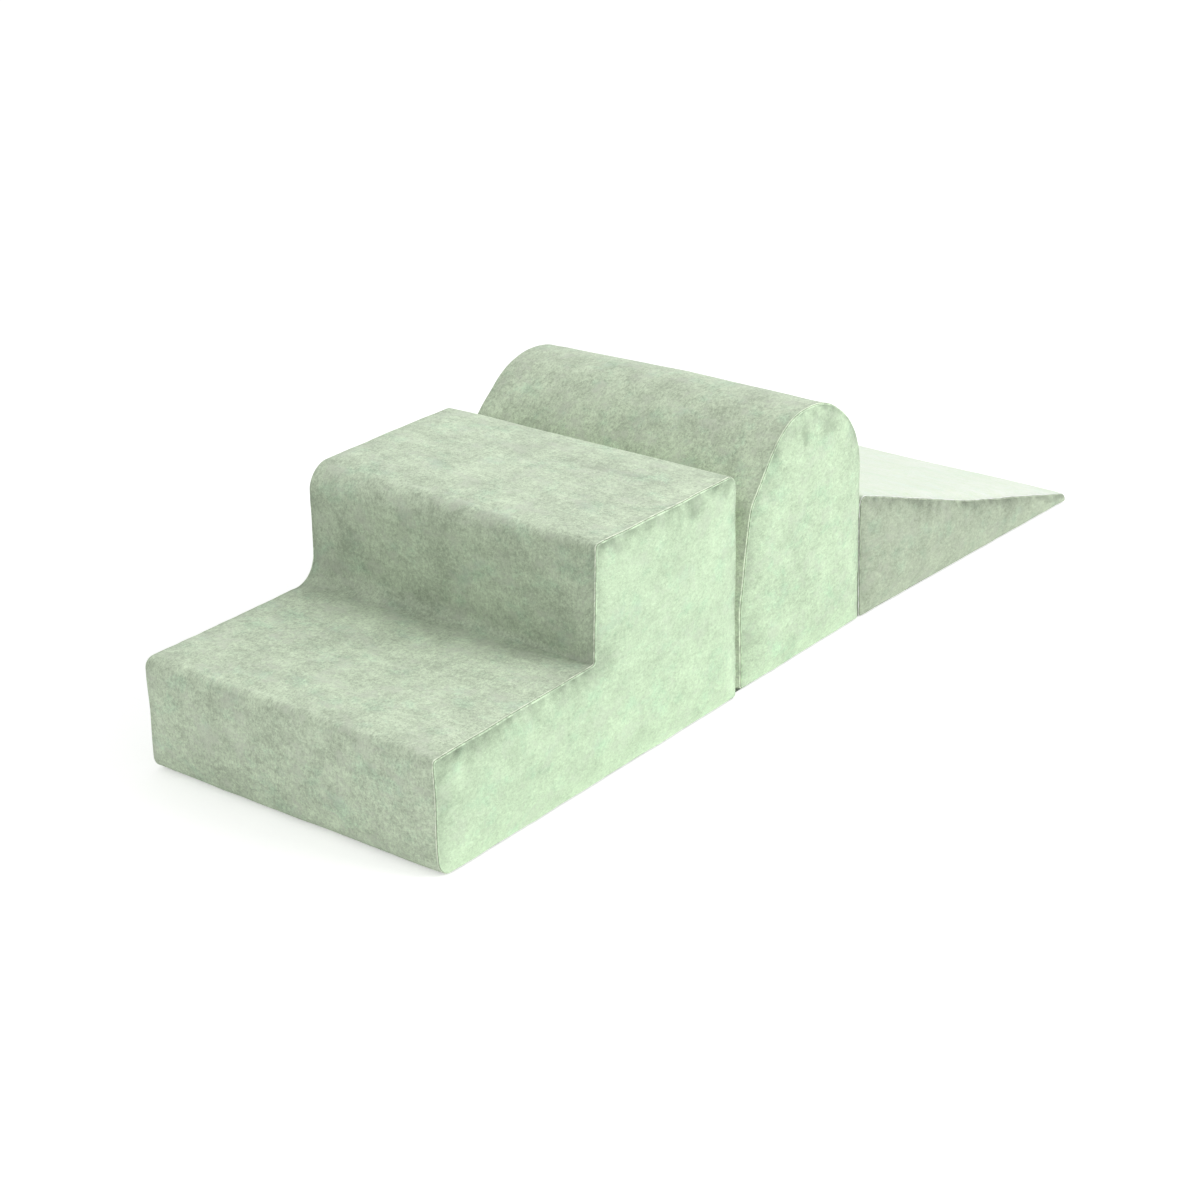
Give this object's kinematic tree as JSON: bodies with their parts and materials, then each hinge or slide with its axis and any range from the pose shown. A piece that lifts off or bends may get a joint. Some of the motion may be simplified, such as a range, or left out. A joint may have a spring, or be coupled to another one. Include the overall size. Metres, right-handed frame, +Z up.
{
  "type": "soft play foam climber",
  "caption": "Row of three velvet-covered foam blocks for climbing: a two-step block, a domed arch block and a ramp with a thin tip.",
  "frame": {"origin": "middle of the row's box, on the floor", "axes": "+X along the row from the steps to the ramp tip, -Y the near side in the picture, +Z up"},
  "size_m": [1.8738, 0.6554, 0.454],
  "materials": {
    "velvet": "matte",
    "base_cloth": "matte",
    "foam": "matte",
    "zip_tape": "matte",
    "zip_resin": "satin",
    "zip_metal": "satin",
    "loop_fastener": "matte",
    "hook_fastener": "matte"
  },
  "bodies": {
    "step_block": {"step_foam_core": "foam", "step_cover_wrap": "velvet", "step_cover_side_near": "velvet", "step_cover_side_far": "velvet", "step_base_front": "base_cloth", "step_base_rear": "base_cloth", "step_zip_tape_front": "zip_tape", "step_zip_teeth_front": "zip_resin", "step_zip_top_stop_front": "zip_resin", "step_zip_tape_rear": "zip_tape", "step_zip_teeth_rear": "zip_resin", "step_zip_top_stop_rear": "zip_resin", "step_zip_bottom_stop": "zip_resin", "step_loop_patch_near": "loop_fastener", "step_loop_patch_far": "loop_fastener"},
    "step_slider": {"step_zip_slider": "zip_metal"},
    "step_pull": {"step_zip_pull": "zip_metal"},
    "arch_block": {"arch_foam_core": "foam", "arch_cover_wrap": "velvet", "arch_cover_side_near": "velvet", "arch_cover_side_far": "velvet", "arch_base_front": "base_cloth", "arch_base_rear": "base_cloth", "arch_zip_tape_front": "zip_tape", "arch_zip_teeth_front": "zip_resin", "arch_zip_top_stop_front": "zip_resin", "arch_zip_tape_rear": "zip_tape", "arch_zip_teeth_rear": "zip_resin", "arch_zip_top_stop_rear": "zip_resin", "arch_zip_bottom_stop": "zip_resin", "arch_loop_patch_near": "loop_fastener", "arch_loop_patch_far": "loop_fastener", "arch_hook_patch_near": "hook_fastener", "arch_hook_patch_far": "hook_fastener"},
    "arch_slider": {"arch_zip_slider": "zip_metal"},
    "arch_pull": {"arch_zip_pull": "zip_metal"},
    "ramp_block": {"ramp_foam_core": "foam", "ramp_cover_wrap": "velvet", "ramp_cover_side_near": "velvet", "ramp_cover_side_far": "velvet", "ramp_base_front": "base_cloth", "ramp_base_rear": "base_cloth", "ramp_zip_tape_front": "zip_tape", "ramp_zip_teeth_front": "zip_resin", "ramp_zip_top_stop_front": "zip_resin", "ramp_zip_tape_rear": "zip_tape", "ramp_zip_teeth_rear": "zip_resin", "ramp_zip_top_stop_rear": "zip_resin", "ramp_zip_bottom_stop": "zip_resin", "ramp_hook_patch_near": "hook_fastener", "ramp_hook_patch_far": "hook_fastener"},
    "ramp_slider": {"ramp_zip_slider": "zip_metal"},
    "ramp_pull": {"ramp_zip_pull": "zip_metal"}
  },
  "joints": [
    {"name": "arch_slide", "type": "slide", "parent": "step_block", "child": "arch_block", "axis": [1, 0, 0], "range_m": [0, 0.5]},
    {"name": "ramp_slide", "type": "slide", "parent": "arch_block", "child": "ramp_block", "axis": [1, 0, 0], "range_m": [0, 0.5]},
    {"name": "step_zip_slide", "type": "slide", "parent": "step_block", "child": "step_slider", "axis": [0, -1, 0], "range_m": [0, 0.439], "deforming": ["step_zip_teeth_front", "step_zip_teeth_rear"]},
    {"name": "step_pull_swing", "type": "hinge", "parent": "step_slider", "child": "step_pull", "pos_m": [-0.3269, 0.2053, 0.00225], "axis": [1, 0, 0], "range_deg": [0, 175]},
    {"name": "arch_zip_slide", "type": "slide", "parent": "arch_block", "child": "arch_slider", "axis": [0, -1, 0], "range_m": [0, 0.439], "deforming": ["arch_zip_teeth_front", "arch_zip_teeth_rear"]},
    {"name": "arch_pull_swing", "type": "hinge", "parent": "arch_slider", "child": "arch_pull", "pos_m": [0.021, 0.2143, 0.00225], "axis": [1, 0, 0], "range_deg": [0, 175]},
    {"name": "ramp_zip_slide", "type": "slide", "parent": "ramp_block", "child": "ramp_slider", "axis": [0, -1, 0], "range_m": [0, 0.439], "deforming": ["ramp_zip_teeth_front", "ramp_zip_teeth_rear"]},
    {"name": "ramp_pull_swing", "type": "hinge", "parent": "ramp_slider", "child": "ramp_pull", "pos_m": [0.3389, 0.2143, 0.00225], "axis": [1, 0, 0], "range_deg": [0, 175]}
  ]
}
